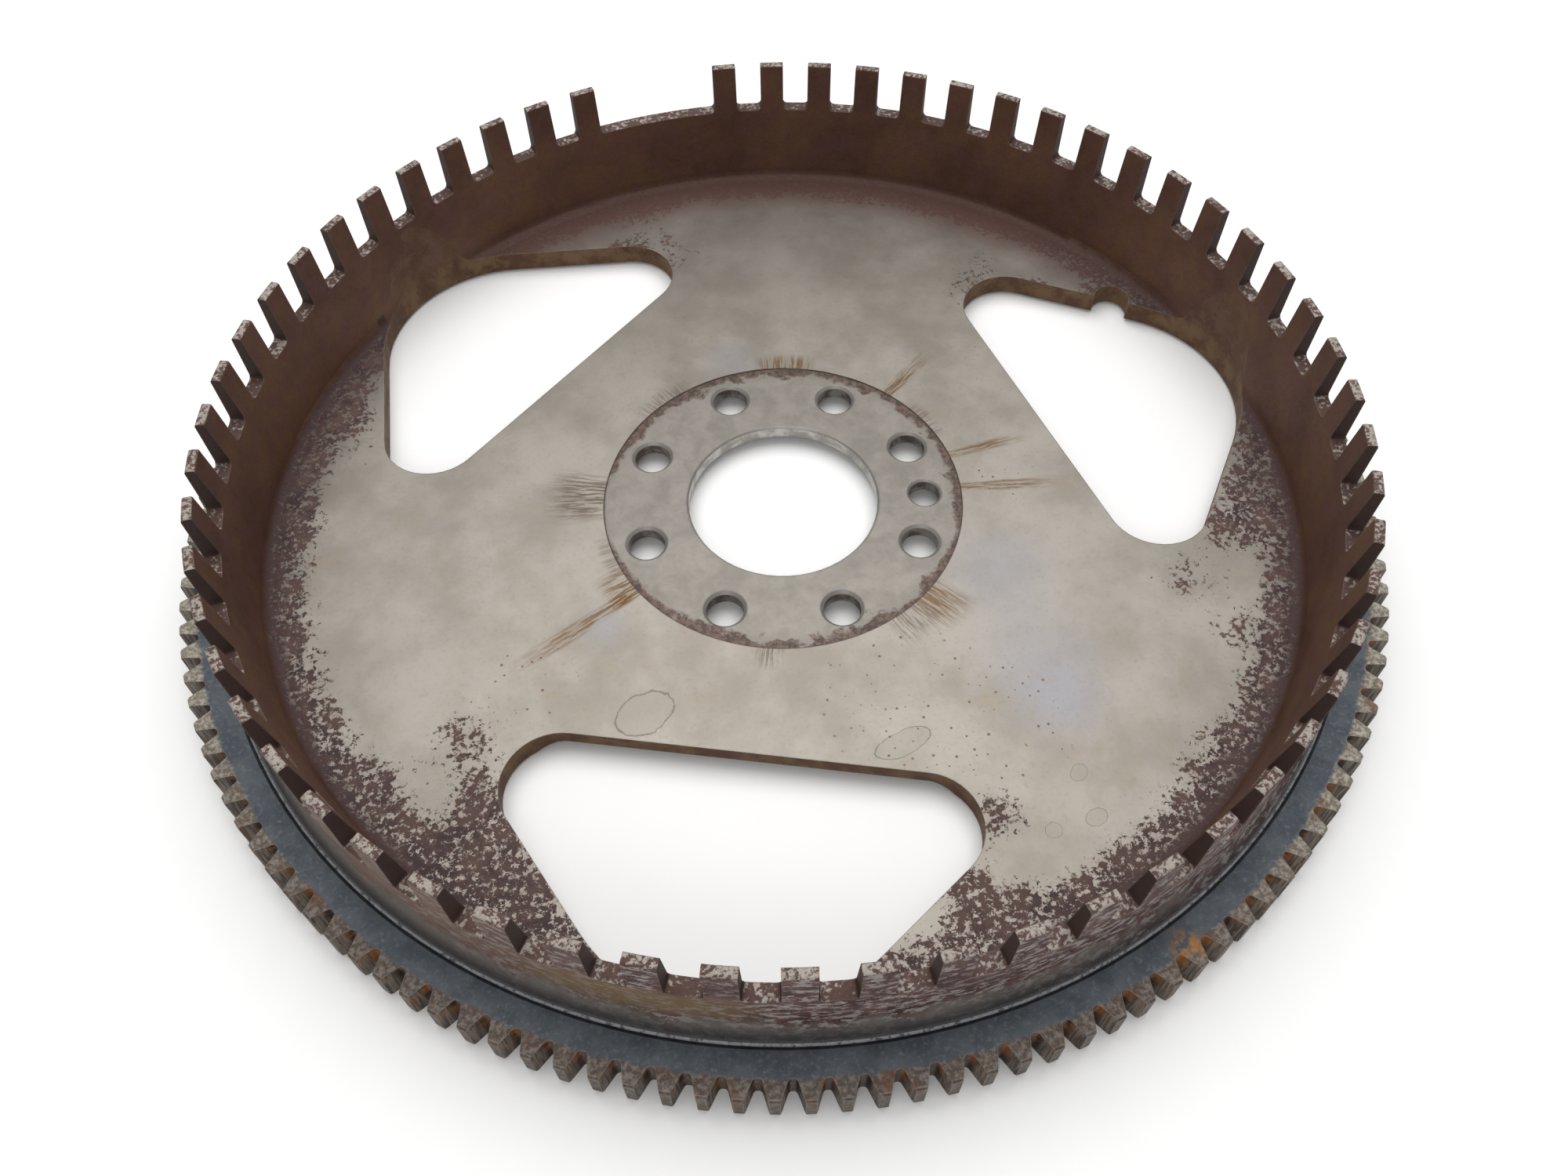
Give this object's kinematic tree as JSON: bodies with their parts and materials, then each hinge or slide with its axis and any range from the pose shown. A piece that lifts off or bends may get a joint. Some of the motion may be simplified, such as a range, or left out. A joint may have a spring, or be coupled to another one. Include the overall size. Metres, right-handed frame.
{
  "type": "engine drive plate",
  "caption": "Steel engine drive plate: a shallow pan with a bolted hub and window openings, a crown of speed-sensor teeth and a shrunk-on starter ring gear.",
  "frame": {"origin": "centre of the pilot bore in the hub face that bolts against the crankshaft flange", "axes": "+Z along the crankshaft axis, out of the pan's open side; +X along the middle of the window with the notch"},
  "size_m": [0.338, 0.338, 0.0476],
  "materials": {
    "pan_steel": "satin machined and rolled steel, with dark brown rust on the wall and speckles towards the rim",
    "ring_steel": "hardened steel, dark blue-grey with tan teeth and rust in the gaps"
  },
  "bodies": {
    "root": {"drive_plate": "pan_steel", "starter_ring_gear": "ring_steel"}
  },
  "joints": []
}
